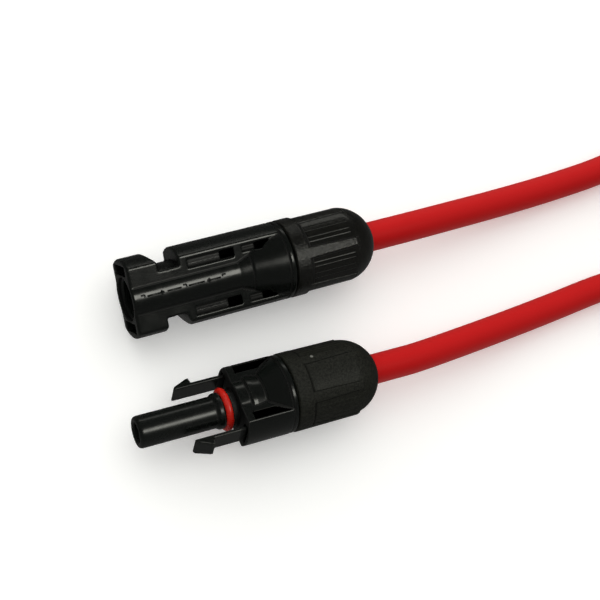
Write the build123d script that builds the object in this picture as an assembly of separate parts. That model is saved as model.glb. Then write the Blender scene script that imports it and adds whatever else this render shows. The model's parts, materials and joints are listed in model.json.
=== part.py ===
"""Solar cable extension lead: a plug end and a socket end joined by one insulated cable.

Each end is drawn in its own local frame: +X runs along the connector axis from the mouth
towards the cable, +Y points across the flats at the first latch side, +Z out of a flat side.
The two ends are then turned about their own axes and laid side by side on the plane z = 0.
All lengths are in millimetres, all angles in degrees.
"""

import math
import os

from build123d import *

os.makedirs("parts", exist_ok=True)

# ---- contacts ----
PIN_R = 2.0
PIN_LEN = 14.1  # bare length in front of the coupler's inner wall
PIN_NOSE = 0.9
PIN_FIT = 0.04
SOCKET_R = PIN_R + PIN_FIT
SOCKET_FRONT = 1.8  # from the probe tip
SOCKET_DEPTH = 13.0
CONTACT_R = SOCKET_R + 0.81
CONTACT_CLEAR = 0.08
ROOT_R = PIN_R + 0.5  # thicker root of the pin, in the inner wall
ROOT_LEN = 0.6
ROOT_CLEAR = 0.1
SHOULDER_R = CONTACT_R + 0.75
SHOULDER_LEN = 1.2
CRIMP_R = CONTACT_R - 0.1
CRIMP_LEN = 8.0
CRIMP_BACK = 0.5  # end of the crimp barrel in front of the seam
CLIP_LEN = 1.9
CLIP_SHEET = 0.3
SPRING_SHEET = 0.35
SPRING_START = 1.5
SPRING_END = 4.5
CHAMBER_R = SHOULDER_R + 0.7

# ---- probe and the bore that takes it ----
PROBE_R = CONTACT_R + CONTACT_CLEAR + 0.65
PROBE_BASE_R = PROBE_R + 0.47
PROBE_LEN = 22.0
RING_X = PROBE_LEN - 1.8  # middle of the ring seal, from the probe tip
RING_SECTION_R = 0.8
RING_GROOVE_R = PROBE_R - 0.28
RING_CLEAR = 0.1
BORE_R = PROBE_R + 0.84  # coupler bore, which squeezes the ring seal
MOUTH_R = BORE_R + 0.5  # lead-in at the coupler's face
MALE_WALL = PROBE_LEN + 0.6  # floor of the coupler bore
WALL_THICK = 1.2

# ---- shared moulding sizes ----
OUTER_R = 8.92  # arched roofs and flange ring
FLAT_HALF = MOUTH_R + 0.28  # half thickness across the two flat sides
CORE_R = MOUTH_R + 1.03  # round core that bulges out of the flats
MALE_STEP_R = CORE_R + 1.0  # thicker core in front of the cone
FEMALE_STEP_R = CORE_R + 0.45
CONE_R = OUTER_R - 0.3  # rear end of the cone
CONE_RISE = 0.35
FLANGE_LEN = 1.2
EDGE = 0.35  # broken moulded edges
CORNER_R = 0.6  # rounding where a flat side meets a roof

# ---- latch strips, their slots and the notch that the barbs snap into ----
SLOT_IN = BORE_R + 0.88
SLOT_CLEAR = 0.2
ARM_IN = SLOT_IN + 1.15  # inner face of a strip, from the axis
ARM_THICK = 0.85
ARM_HALF = 2.5
ARM_MID = ARM_IN + ARM_THICK / 2
ARM_OUT = ARM_IN + ARM_THICK
SLOT_HALF = ARM_HALF + 0.8
HEAD_LEN = 7.0
NOTCH_LEN = 4.75
SLOT_DEPTH = HEAD_LEN + 2.0
PROBE_REST = 1.0  # gap left in front of the probe when the latches have snapped in
BARB_BACK = MALE_WALL - PROBE_REST - HEAD_LEN
BARB_LEN = 3.8
BARB_RISE = 0.9
BARB_CORNER = 0.6
PIVOT_X = PROBE_LEN + 5.4
PIVOT_PIN_R = 0.55
PIVOT_PIN_OUT = 0.8  # reach of a pivot pin beyond the strip
KNUCKLE_R = 0.8
KNUCKLE_CLEAR = 0.1
ARM_CLEAR = 0.3  # each side of a strip in its pocket

# ---- coupler, from its mouth ----
MALE_SEAM = MALE_WALL + WALL_THICK + 13.5  # face that the cap nut closes on
MALE_STEP = MALE_SEAM - 12.1
MALE_CONE = MALE_SEAM - 9.3
POCKET_START = HEAD_LEN + NOTCH_LEN + 1.95
POCKET_END = MALE_SEAM - 12.8
POCKET_STEP = POCKET_END - 2.9
POCKET_IN = BORE_R - 0.12  # long side pocket, from the axis across the flats
POCKET_OUT = POCKET_IN + 2.0
POCKET_FLOOR = FLAT_HALF - 0.95  # shallow part, from the mid plane
POCKET_DEEP_IN = BORE_R + 0.18
POCKET_DEEP = FLAT_HALF - 2.2
MALE_WINDOW = (MALE_SEAM - 10.6, MALE_SEAM - 5.7, MALE_SEAM - 4.1)  # start, inner end, outer end
MALE_WINDOW_SIDE = (BORE_R + 0.58, BORE_R + 1.83)
MALE_WINDOW_FLOOR = (FLAT_HALF - 0.6, FLAT_HALF - 1.8)

# ---- plug, from its probe tip ----
FEMALE_SHOULDER = PROBE_LEN + 2.0  # where the socket contact seats
FEMALE_SEAM = FEMALE_SHOULDER + 10.55
FEMALE_STEP = PROBE_LEN + 2.9
FEMALE_CONE = PROBE_LEN + 6.6
FEMALE_WINDOW = (PROBE_LEN + 2.4, PROBE_LEN + 8.4, PROBE_LEN + 11.1)
FEMALE_WINDOW_SIDE = (BORE_R + 1.03, BORE_R + 2.43)
FEMALE_WINDOW_FLOOR = (FLAT_HALF - 1.0, FLAT_HALF - 2.0)

# ---- cable and what seals and grips it, from the seam ----
CABLE_R = 3.5
WIRE_R = 1.6
WIRE_FIT = 0.04
INSULATION_R = CABLE_R - 1.05
INSULATION_START = 0.2  # in front of the seam
GLAND_R = CABLE_R + 2.05  # chamber of the wire seal
GLAND_FLOOR = 1.0
SPIGOT_R = GLAND_R + 1.35
THREAD_DEPTH = 0.35
THREAD_PITCH = 1.5
SPIGOT_LEN = 10.0
SEAL_START = GLAND_FLOOR + 2.0
SEAL_END = SPIGOT_LEN - 1.6
SEAL_FIT = 0.04  # between sheath and wire seal
SEAL_RIDGE = 0.35
SHEATH_START = SEAL_START - 0.3  # where the outer sheath begins
CAGE_CLEAR = 0.15
CAGE_START = SEAL_END + 0.3
CAGE_FLANGE = SPIGOT_LEN + 0.3
CAGE_FLANGE_END = CAGE_FLANGE + 1.7
CAGE_END = CAGE_FLANGE_END + 6.0
CAGE_TIP_R = CABLE_R + 1.0
FINGERS = 8
FINGER_GAP = 1.0

# ---- cap nuts, from the seam ----
NUT_GAP = 0.22  # open seam between flange and nut
NUT_R = OUTER_R + 0.08
COLLAR_END = 3.75
PANEL_END = SPIGOT_LEN + 5.8
PANEL_R = NUT_R - 0.42
RIB_RISE = 0.22
RIB_PITCH = 5.6
RIBS = 7
RIB_HALF = 0.3
RIBBED_PANELS = (0, 1, 3, 4)
LANDS = 6
LAND_FRONT = 15.6
LAND_REAR = 10.4
DOME_X = PANEL_END - 1.2
DOME_LEN = 8.4
DOME_R = NUT_R - 0.34
NUT_BORE_R = SPIGOT_R + 0.2
NUT_BORE_LEN = CAGE_FLANGE_END - 0.7
NUT_CONE_END = CAGE_END + 1.6
CABLE_HOLE_R = CABLE_R + 0.45

# ---- how the two ends lie ----
# ---- how the two ends lie ----
MALE_ROLL = 18.7
FEMALE_ROLL = -26.2
FEMALE_HEADING = -1.6
MALE_NUT_TURN = 10.8  # where the first land of each nut lies
FEMALE_NUT_TURN = -105.5
MALE_MOUTH = (-26.58, 14.8, NUT_R)
FEMALE_TIP = (-32.71, -13.43, NUT_R)

# ---- the free cable: bend points of each run, in order from the connector ----
MALE_ROUTE = [
    (47.3, 14.8, 9.0),
    (83.3, 15.7, 3.9),
    (112.3, 17.6, 3.7),
    (131.3, 24.0, 3.8),
    (146.8, 35.5, 4.1),
    (163.3, 43.5, 4.4),
]
FEMALE_ROUTE = [
    (37.3, -15.386, 9.0),
    (72.3, -13.65, 4.0),
    (102.0, -11.0, 3.7),
    (118.0, -14.6, 3.8),
    (132.0, -24.0, 4.6),
    (145.3, -34.9, 6.6),
    (161.3, -39.7, 9.6),
]
COIL_CENTRE = (171.0, 2.0)
COIL_INNER_R = 27.0
COIL_OUTER_R = 45.5
COIL_HEIGHT = 4 * CABLE_R  # two layers of cable
TIE_THICK = 0.8
TIE_WIDTH = 5.0
TIE_FIT = 0.2
TIE_ANGLE = 45.0  # each way from the far side of the coil


def rod(radius, x0, x1):
    """A round bar along X."""
    return Pos(x0, 0, 0) * extrude(Plane.YZ * Circle(radius), x1 - x0)


def tube(outer, inner, x0, x1):
    """A round sleeve along X."""
    return rod(outer, x0, x1) - rod(inner, x0 - 1, x1 + 1)


def turned(points):
    """The solid that an (x, radius) outline sweeps about X."""
    return revolve(make_face(Polyline(*points, close=True)), Axis.X, 360)


def block(x0, x1, y0, y1, z0, z1):
    """A box given by its limits."""
    size = (x1 - x0, y1 - y0, z1 - z0)
    middle = ((x0 + x1) / 2, (y0 + y1) / 2, (z0 + z1) / 2)
    return Pos(*middle) * Box(*size)


def both_sides(shape):
    """The shape and its half turn about the connector axis."""
    return shape + Rot(180, 0, 0) * shape


def four_ways(shape):
    """The shape, its mirror across the flats, and the half turn of both."""
    return both_sides(shape + mirror(shape, Plane.XY))


def slab(x0, x1):
    """Round body cut to two flat sides, with arched roofs left above and below."""
    section = Circle(OUTER_R) & Rectangle(2 * OUTER_R, 2 * FLAT_HALF)
    section = fillet(section.vertices(), CORNER_R)
    body = Pos(x0, 0, 0) * extrude(Plane.YZ * section, x1 - x0)
    lead = turned(
        [
            (x0, 0),
            (x0, OUTER_R - EDGE),
            (x0 + EDGE, OUTER_R + 0.01),
            (x1, OUTER_R + 0.01),
            (x1, 0),
        ]
    )
    return body & lead


def side_pocket(outline, floor):
    """A pocket cut into the +Z flat side from its (x, y) outline down to a floor height."""
    cut = extrude(make_face(Polyline(*outline, close=True)), FLAT_HALF + 3 - floor)
    return Pos(0, 0, floor) * cut


def ramp_pocket(ends, sides, floors):
    """A side pocket whose floor falls towards the cable and whose rear end is slanted."""
    start, inner_end, outer_end = ends
    inner, outer = sides
    shallow, deep = floors
    outline = [(start, inner), (start, outer), (outer_end, outer), (inner_end, inner)]
    below = deep - 1
    floor = [(start - 1, below), (start - 1, shallow), (outer_end, deep), (outer_end, below)]
    ramp = extrude(Plane.XZ * make_face(Polyline(*floor, close=True)), OUTER_R, both=True)
    return side_pocket(outline, deep) - ramp


def barrel(front, step, step_r, cone, seam):
    """Core, thicker core, cone and flange ring in front of the cap nut."""
    ramp = 0.5
    return turned(
        [
            (front, 0),
            (front, CORE_R),
            (step, CORE_R),
            (step + ramp, step_r),
            (cone, step_r),
            (cone + CONE_RISE, step_r + CONE_RISE),
            (seam - FLANGE_LEN - 0.15, CONE_R),
            (seam - FLANGE_LEN, OUTER_R - 0.1),
            (seam - FLANGE_LEN + 0.1, OUTER_R),
            (seam, OUTER_R),
            (seam, 0),
        ]
    )


def spigot(seam):
    """Threaded neck behind the flange, with its crests drawn as plain rings."""
    root = SPIGOT_R - THREAD_DEPTH
    first = seam + NUT_GAP + 1.2
    count = int((SPIGOT_LEN - 2.4) / THREAD_PITCH)
    outline = [(seam - 1, 0), (seam - 1, root), (first, root)]
    for turn in range(count):
        x = first + turn * THREAD_PITCH
        outline += [
            (x + 0.4, SPIGOT_R),
            (x + 0.8, SPIGOT_R),
            (x + 1.2, root),
            (x + THREAD_PITCH, root),
        ]
    outline += [(seam + SPIGOT_LEN, root), (seam + SPIGOT_LEN, 0)]
    return turned(outline)


def gland_hollow(chamber_start, seam):
    """Contact chamber and the wider chamber of the wire seal behind it."""
    chamber = rod(CHAMBER_R, chamber_start, seam + GLAND_FLOOR + 1)
    seat = rod(GLAND_R, seam + GLAND_FLOOR, seam + SPIGOT_LEN + 1)
    return chamber + seat


def long_pocket(start, side, floor):
    """One level of the coupler's long side pocket."""
    outline = [(start, side), (start, POCKET_OUT), (POCKET_END, POCKET_OUT), (POCKET_END, side)]
    return side_pocket(outline, floor)


def male_housing():
    """Coupler body: slotted head, notches, side pockets, bore, cone and threaded neck."""
    slot_out = ARM_OUT + SLOT_CLEAR
    roof_front = HEAD_LEN + NOTCH_LEN
    body = slab(0, MALE_SEAM - FLANGE_LEN)
    body += barrel(0, MALE_STEP, MALE_STEP_R, MALE_CONE, MALE_SEAM)
    body += spigot(MALE_SEAM)
    body -= rod(BORE_R, -1, MALE_WALL)
    body -= turned([(-1, 0), (-1, MOUTH_R), (0.15, MOUTH_R), (1.1, BORE_R), (1.1, 0)])
    body -= rod(ROOT_R + ROOT_CLEAR, MALE_WALL - 1, MALE_WALL + WALL_THICK + 1)
    body -= gland_hollow(MALE_WALL + WALL_THICK, MALE_SEAM)
    body -= both_sides(block(-1, SLOT_DEPTH, SLOT_IN, slot_out, -SLOT_HALF, SLOT_HALF))
    body -= both_sides(block(HEAD_LEN, roof_front, SLOT_IN, OUTER_R + 1, -9, 9))
    shallow = long_pocket(POCKET_START, POCKET_IN, POCKET_FLOOR)
    deep = long_pocket(POCKET_STEP, POCKET_DEEP_IN, POCKET_DEEP)
    body -= four_ways(shallow) + four_ways(deep)
    body -= four_ways(ramp_pocket(MALE_WINDOW, MALE_WINDOW_SIDE, MALE_WINDOW_FLOOR))
    return body


def male_pin_contact():
    """Round-nosed pin on a thicker root that fills the hole in the coupler's inner wall."""
    shoulder = MALE_WALL + WALL_THICK
    tip = MALE_WALL - PIN_LEN
    body = rod(PIN_R, tip + PIN_NOSE, shoulder)
    body += turned([(tip, 0), (tip, PIN_R - PIN_NOSE), (tip + PIN_NOSE, PIN_R), (tip + PIN_NOSE, 0)])
    body += rod(ROOT_R, MALE_WALL - ROOT_LEN, shoulder + 1)
    return body + crimp_body(shoulder, MALE_SEAM)


def crimp_body(shoulder, seam):
    """Shoulder, waist for the retaining clip, and crimp barrel of either contact."""
    body = rod(SHOULDER_R, shoulder, shoulder + SHOULDER_LEN)
    body += rod(CONTACT_R, shoulder, shoulder + SHOULDER_LEN + CLIP_LEN + 1)
    crimp_end = seam - CRIMP_BACK
    body += rod(CRIMP_R, shoulder + 1, crimp_end)
    return body - rod(WIRE_R + WIRE_FIT, crimp_end - CRIMP_LEN, crimp_end + 1)


def retaining_clip(shoulder):
    """Sprung ring of sheet steel on the contact's waist; its tongues flare to the chamber."""
    x0 = shoulder + SHOULDER_LEN + 0.2
    x1 = x0 + CLIP_LEN - 0.2
    inner = CONTACT_R + 0.02
    outer = CHAMBER_R - 0.1
    ring = tube(inner + CLIP_SHEET, inner, x0, x1)
    flare = turned(
        [
            (x0 + 0.3, inner + CLIP_SHEET - 0.05),
            (x1, outer),
            (x1, outer - CLIP_SHEET),
            (x0 + 0.7, inner + CLIP_SHEET - 0.05),
        ]
    )
    for tongue in range(6):
        gap = block(x0 + 0.6, x1 + 1, inner + CLIP_SHEET, outer + 1, -0.5, 0.5)
        flare -= Rot(60 * tongue, 0, 0) * gap
    return ring + flare - block(x0 - 1, x1 + 1, 0, outer + 1, -0.4, 0.4)


def probe():
    """Nose that enters the coupler: a slim front and a thicker root with the ring groove."""
    root = RING_X - 2.6
    ramp = 0.8
    body = turned(
        [
            (0, 0),
            (0, PROBE_R - 0.45),
            (0.35, PROBE_R - 0.08),
            (1.0, PROBE_R),
            (root, PROBE_R),
            (root + ramp, PROBE_BASE_R),
            (PROBE_LEN + 1, PROBE_BASE_R),
            (PROBE_LEN + 1, 0),
        ]
    )
    half_groove = RING_SECTION_R + RING_CLEAR
    return body - tube(OUTER_R, RING_GROOVE_R, RING_X - half_groove, RING_X + half_groove)


def female_housing():
    """Plug body: probe, flats with pockets for the latch strips, side pockets, cone and neck."""
    body = slab(PROBE_LEN, FEMALE_SEAM - FLANGE_LEN)
    body += barrel(PROBE_LEN, FEMALE_STEP, FEMALE_STEP_R, FEMALE_CONE, FEMALE_SEAM)
    body += spigot(FEMALE_SEAM) + probe()
    body -= rod(PIN_R + 0.22, -1, SOCKET_FRONT + 1.2)
    body -= rod(CONTACT_R + CONTACT_CLEAR, SOCKET_FRONT - 0.2, FEMALE_SHOULDER + 1)
    body -= gland_hollow(FEMALE_SHOULDER, FEMALE_SEAM)
    inner = ARM_MID - KNUCKLE_R - KNUCKLE_CLEAR
    outer = ARM_MID + KNUCKLE_R + 2 * KNUCKLE_CLEAR
    half = ARM_HALF + ARM_CLEAR
    pocket = block(PROBE_LEN - 1, PIVOT_X + KNUCKLE_R + 0.6, inner, outer, -half, half)
    pin_half = ARM_HALF + PIVOT_PIN_OUT + 0.2
    hole = Pos(PIVOT_X, ARM_MID, 0) * Cylinder(PIVOT_PIN_R + KNUCKLE_CLEAR, 2 * pin_half)
    body -= both_sides(pocket + hole)
    return body - four_ways(ramp_pocket(FEMALE_WINDOW, FEMALE_WINDOW_SIDE, FEMALE_WINDOW_FLOOR))


def latch_arm():
    """One latch strip with its barb, drawn on the +Y side, with pivot pins in its knuckle."""
    tip = BARB_BACK - BARB_LEN
    peak = ARM_OUT + BARB_RISE
    outline = [
        (tip, ARM_IN),
        (tip, ARM_IN + 0.5),
        (tip + 0.3, ARM_OUT - 0.1),
        (BARB_BACK - 0.7, peak),
        (BARB_BACK - 0.2, peak),
        (BARB_BACK, ARM_OUT),
        (PIVOT_X, ARM_OUT),
        (PIVOT_X, ARM_IN),
    ]
    strip = extrude(make_face(Polyline(*outline, close=True)), ARM_HALF, both=True)
    above = peak + 0.1
    bevel = [(ARM_OUT, ARM_HALF), (above, ARM_HALF), (above, ARM_HALF - BARB_CORNER)]
    wedge = make_face(Polyline(*bevel, close=True))
    trim = Pos(tip - 1, 0, 0) * extrude(Plane.YZ * wedge, BARB_LEN + 2)
    strip -= trim + mirror(trim, Plane.XY)
    knuckle = Pos(PIVOT_X, ARM_MID, 0) * Cylinder(KNUCKLE_R, 2 * ARM_HALF)
    pins = Pos(PIVOT_X, ARM_MID, 0) * Cylinder(PIVOT_PIN_R, 2 * (ARM_HALF + PIVOT_PIN_OUT))
    return strip + knuckle + pins


def spring_seat(outer):
    """Sleeve between a radius and the bottom of the groove for the socket's spring."""
    groove = CONTACT_R - SPRING_SHEET
    return tube(outer, groove, SOCKET_FRONT + SPRING_START, SOCKET_FRONT + SPRING_END)


def socket_contact():
    """Slotted socket that grips the pin, with a groove outside for its steel spring."""
    front = SOCKET_FRONT
    lead = 0.3
    slots = 2
    body = rod(CONTACT_R, front, FEMALE_SHOULDER + 1)
    body += crimp_body(FEMALE_SHOULDER, FEMALE_SEAM)
    body -= rod(SOCKET_R, front - 1, front + SOCKET_DEPTH)
    body -= turned(
        [
            (front - 1, 0),
            (front - 1, SOCKET_R + lead),
            (front, SOCKET_R + lead),
            (front + lead, SOCKET_R),
            (front + lead, 0),
        ]
    )
    reach = CONTACT_R + 1
    for slot in range(slots):
        cut = block(front - 1, front + 10.0, -reach, reach, -0.2, 0.2)
        body -= Rot(45 + 180 * slot / slots, 0, 0) * cut
    return body - spring_seat(reach)


def socket_spring():
    """Split steel ring that closes the socket's fingers on the pin."""
    split = block(SOCKET_FRONT, SOCKET_FRONT + SPRING_END + 1, 0, CONTACT_R + 1, -0.3, 0.3)
    return spring_seat(CONTACT_R) - split


def ring_seal():
    """Round-section ring in the groove at the root of the probe."""
    centre = RING_GROOVE_R + RING_SECTION_R
    circle = Pos(RING_X, centre) * Circle(RING_SECTION_R)
    return revolve(circle, Axis.X, 360)


def wire_seal(seam):
    """Rubber sleeve between cable sheath and housing, with raised sealing rings."""
    valley = GLAND_R - SEAL_RIDGE
    start = seam + SEAL_START
    body = tube(valley, CABLE_R + SEAL_FIT, start, seam + SEAL_END)
    for ridge in range(3):
        x = start + 0.6 + 1.8 * ridge
        foot = valley - 0.05
        body += turned([(x, foot), (x + 0.25, GLAND_R), (x + 0.55, GLAND_R), (x + 0.8, foot)])
    return body


def clamp_cage(seam):
    """Ring with sprung fingers that the nut's inner cone closes on the cable."""
    inner = CABLE_R + 2 * CAGE_CLEAR
    sleeve_r = GLAND_R - CAGE_CLEAR
    flange_r = SPIGOT_R - 0.1
    finger_r = flange_r - 0.25
    body = turned(
        [
            (seam + CAGE_START, inner),
            (seam + CAGE_START, sleeve_r),
            (seam + CAGE_FLANGE, sleeve_r),
            (seam + CAGE_FLANGE, flange_r),
            (seam + CAGE_FLANGE_END - 0.6, flange_r),
            (seam + CAGE_FLANGE_END, finger_r),
            (seam + CAGE_END, CAGE_TIP_R),
            (seam + CAGE_END, inner),
        ]
    )
    for finger in range(FINGERS):
        half = FINGER_GAP / 2
        gap = block(seam + CAGE_FLANGE_END, seam + CAGE_END + 1, 0, NUT_R, -half, half)
        body -= Rot(360 * finger / FINGERS, 0, 0) * gap
    return body


def land(seam, angle):
    """One land: a raised strip that narrows from the collar to the dome, with a sloped end."""
    x0 = seam + COLLAR_END - 0.5
    x1 = seam + PANEL_END + 0.4
    half0 = NUT_R * math.sin(math.radians(LAND_FRONT / 2))
    half1 = NUT_R * math.sin(math.radians(LAND_REAR / 2))
    outline = Polyline((x0, -half0), (x0, half0), (x1, half1), (x1, -half1), close=True)
    wedge = Pos(0, 0, PANEL_R / 2) * extrude(make_face(outline), NUT_R)
    root = PANEL_R - 0.58
    sleeve = turned([(x0, root), (x0, NUT_R), (x1 - 0.4, NUT_R), (x1, NUT_R - 0.5), (x1, root)])
    return Rot(-angle, 0, 0) * (wedge & sleeve)


def rib(seam, angle):
    """One fine gripping rib: a low ridge of triangular section along a panel."""
    length = PANEL_END - COLLAR_END - 0.6
    root = PANEL_R - 0.3
    crest = PANEL_R + RIB_RISE
    outline = Polyline((-RIB_HALF, root), (0, crest), (RIB_HALF, root), close=True)
    ridge = Pos(seam + COLLAR_END - 0.1, 0, 0) * extrude(Plane.YZ * make_face(outline), length)
    return Rot(-angle, 0, 0) * ridge


def cap_nut(seam, land_angle):
    """Gripped nut with six panels between lands, two opposite panels plain, and a domed rear."""
    steps = 24
    end_x = DOME_X + DOME_LEN * math.sqrt(1 - (CABLE_HOLE_R / DOME_R) ** 2)
    dome = []
    for step in range(steps + 1):
        x = PANEL_END + (end_x - PANEL_END) * math.sin(math.pi / 2 * step / steps)
        dome.append((x, DOME_R * math.sqrt(1 - ((x - DOME_X) / DOME_LEN) ** 2)))
    dome_edge = Spline(*[(seam + x, r) for x, r in dome])
    outline = Polyline(
        (seam + end_x, CABLE_HOLE_R),
        (seam + NUT_CONE_END, CABLE_HOLE_R),
        (seam + NUT_CONE_END, CAGE_TIP_R - 0.05),
        (seam + NUT_BORE_LEN + 0.4, NUT_BORE_R - 0.2),
        (seam + NUT_BORE_LEN, NUT_BORE_R),
        (seam + NUT_GAP, NUT_BORE_R),
        (seam + NUT_GAP, NUT_R - EDGE),
        (seam + NUT_GAP + EDGE, NUT_R),
        (seam + COLLAR_END - 0.1, NUT_R),
        (seam + COLLAR_END, PANEL_R),
        (seam + dome[0][0], dome[0][1]),
    )
    body = revolve(make_face(outline + dome_edge), Axis.X, 360)
    pitch = 360 / LANDS
    for strip in range(LANDS):
        body += land(seam, land_angle + pitch * strip)
    for panel in RIBBED_PANELS:
        middle = land_angle + pitch * (panel - 0.5)
        for k in range(RIBS):
            body += rib(seam, middle + RIB_PITCH * (k - (RIBS - 1) / 2))
    return body.solids().sort_by(SortBy.VOLUME)[-1]


def wire_end(seam):
    """Bare conductor from the crimp barrel to where the outer sheath starts."""
    return rod(WIRE_R, seam - CRIMP_BACK - CRIMP_LEN + 0.5, seam + SHEATH_START)


def core_insulation(seam):
    """Inner insulation left bare between the crimp and the sheath."""
    return tube(INSULATION_R, WIRE_R, seam - INSULATION_START, seam + SHEATH_START)


def bend_radii(points):
    """Arc radius at each inner point: 0.45 of its shorter run over the tangent of half the turn."""
    radii = []
    for before, here, after in zip(points, points[1:], points[2:]):
        run_in = Vector(*here) - Vector(*before)
        run_out = Vector(*after) - Vector(*here)
        turn = math.radians(run_in.get_angle(run_out))
        radii.append(0.45 * min(run_in.length, run_out.length) / math.tan(turn / 2))
    return radii


def cable_run(name, points):
    """Plain round cable along straight runs joined by tangent arcs."""
    radii = bend_radii(points)
    path = FilletPolyline(*points, radius=radii)
    start = Plane(origin=path @ 0, z_dir=path % 0)
    run = sweep(start * Circle(CABLE_R), path=path)
    expected = math.pi * CABLE_R**2 * path.length
    print(name, "radii", [round(r, 1) for r in radii])
    print(name, "length", round(path.length, 1), "volume over section", round(run.volume / expected, 5))
    return run


def coil_section(margin):
    """Section of the wound bundle in its own centre, larger all round by a margin."""
    width = COIL_OUTER_R - COIL_INNER_R + 2 * margin
    return RectangleRounded(width, COIL_HEIGHT + 2 * margin, CABLE_R - 0.3 + margin)


def coil():
    """Outer shape of the wound length: a ring of rounded section lying on its ties."""
    middle_r = (COIL_INNER_R + COIL_OUTER_R) / 2
    height = COIL_HEIGHT / 2 + TIE_THICK + TIE_FIT
    ring = revolve(Plane.XZ * Pos(middle_r, height) * coil_section(0), Axis.Z, 360)
    return Pos(COIL_CENTRE[0], COIL_CENTRE[1], 0) * ring


def coil_ties():
    """Two straps round the bundle, on the side of the coil away from the connectors."""
    middle_r = (COIL_INNER_R + COIL_OUTER_R) / 2
    height = COIL_HEIGHT / 2 + TIE_THICK + TIE_FIT
    section = coil_section(TIE_FIT + TIE_THICK) - coil_section(TIE_FIT)
    strap = Pos(middle_r, 0, height) * extrude(Plane.XZ * section, TIE_WIDTH / 2, both=True)
    place = Pos(COIL_CENTRE[0], COIL_CENTRE[1], 0)
    return Compound([place * Rot(0, 0, turn) * strap for turn in (-TIE_ANGLE, TIE_ANGLE)])


def place_male(shape):
    return Pos(*MALE_MOUTH) * Rot(MALE_ROLL, 0, 0) * shape


def place_female(shape):
    return Pos(*FEMALE_TIP) * Rot(0, 0, FEMALE_HEADING) * Rot(FEMALE_ROLL, 0, 0) * shape


def main():
    male_shoulder = MALE_WALL + WALL_THICK
    male = {
        "male_housing": male_housing(),
        "male_pin_contact": male_pin_contact(),
        "male_retaining_clip": retaining_clip(male_shoulder),
        "male_conductor": wire_end(MALE_SEAM),
        "male_core_insulation": core_insulation(MALE_SEAM),
        "male_wire_seal": wire_seal(MALE_SEAM),
        "male_clamp_cage": clamp_cage(MALE_SEAM),
        "male_cap_nut": cap_nut(MALE_SEAM, MALE_NUT_TURN),
    }
    female = {
        "female_housing": female_housing(),
        "latch_arm_upper": latch_arm(),
        "latch_arm_lower": Rot(180, 0, 0) * latch_arm(),
        "probe_ring_seal": ring_seal(),
        "female_socket_contact": socket_contact(),
        "socket_spring": socket_spring(),
        "female_retaining_clip": retaining_clip(FEMALE_SHOULDER),
        "female_conductor": wire_end(FEMALE_SEAM),
        "female_core_insulation": core_insulation(FEMALE_SEAM),
        "female_wire_seal": wire_seal(FEMALE_SEAM),
        "female_clamp_cage": clamp_cage(FEMALE_SEAM),
        "female_cap_nut": cap_nut(FEMALE_SEAM, FEMALE_NUT_TURN),
    }
    start_male = MALE_SEAM + SHEATH_START
    start_female = FEMALE_SEAM + SHEATH_START
    heading = math.radians(FEMALE_HEADING)
    male_start = (MALE_MOUTH[0] + start_male, MALE_MOUTH[1], NUT_R)
    female_start = (
        FEMALE_TIP[0] + start_female * math.cos(heading),
        FEMALE_TIP[1] + start_female * math.sin(heading),
        NUT_R,
    )
    parts = {name: place_male(shape) for name, shape in male.items()}
    parts |= {name: place_female(shape) for name, shape in female.items()}
    parts["cable_run_male"] = cable_run("cable_run_male", [male_start] + MALE_ROUTE)
    parts["cable_run_female"] = cable_run("cable_run_female", [female_start] + FEMALE_ROUTE)
    parts["cable_coil"] = coil()
    parts["cable_ties"] = coil_ties()
    for name, shape in parts.items():
        export_step(shape, f"parts/{name}.step")


main()
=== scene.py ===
"""Finishes and visible surfaces of a solar cable extension lead.

Each moulded piece is worked out in millimetres in its own connector's frame: u runs along the
axis from the mouth towards the cable, v towards the first latch side and w out of a flat side.
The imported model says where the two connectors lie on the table.
"""

import json
import math

import bpy
import numpy as np
from mathutils import Matrix


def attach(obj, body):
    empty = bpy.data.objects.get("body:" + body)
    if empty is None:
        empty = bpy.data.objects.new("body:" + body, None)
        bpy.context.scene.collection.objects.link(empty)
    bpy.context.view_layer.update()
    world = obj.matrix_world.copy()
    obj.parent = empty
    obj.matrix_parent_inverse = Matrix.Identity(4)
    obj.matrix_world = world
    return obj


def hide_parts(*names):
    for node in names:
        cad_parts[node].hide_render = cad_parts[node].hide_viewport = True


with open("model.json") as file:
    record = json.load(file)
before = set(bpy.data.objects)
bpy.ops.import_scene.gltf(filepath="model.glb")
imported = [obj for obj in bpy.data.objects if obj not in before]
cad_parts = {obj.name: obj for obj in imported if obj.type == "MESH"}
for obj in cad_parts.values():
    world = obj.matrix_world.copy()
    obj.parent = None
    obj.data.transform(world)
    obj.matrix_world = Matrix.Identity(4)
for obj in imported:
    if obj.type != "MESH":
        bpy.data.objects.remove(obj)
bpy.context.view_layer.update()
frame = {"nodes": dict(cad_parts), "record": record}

MM = 0.001
JOINTS = {joint["name"]: joint for joint in frame["record"]["behaviour"]["joints"]}

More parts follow.
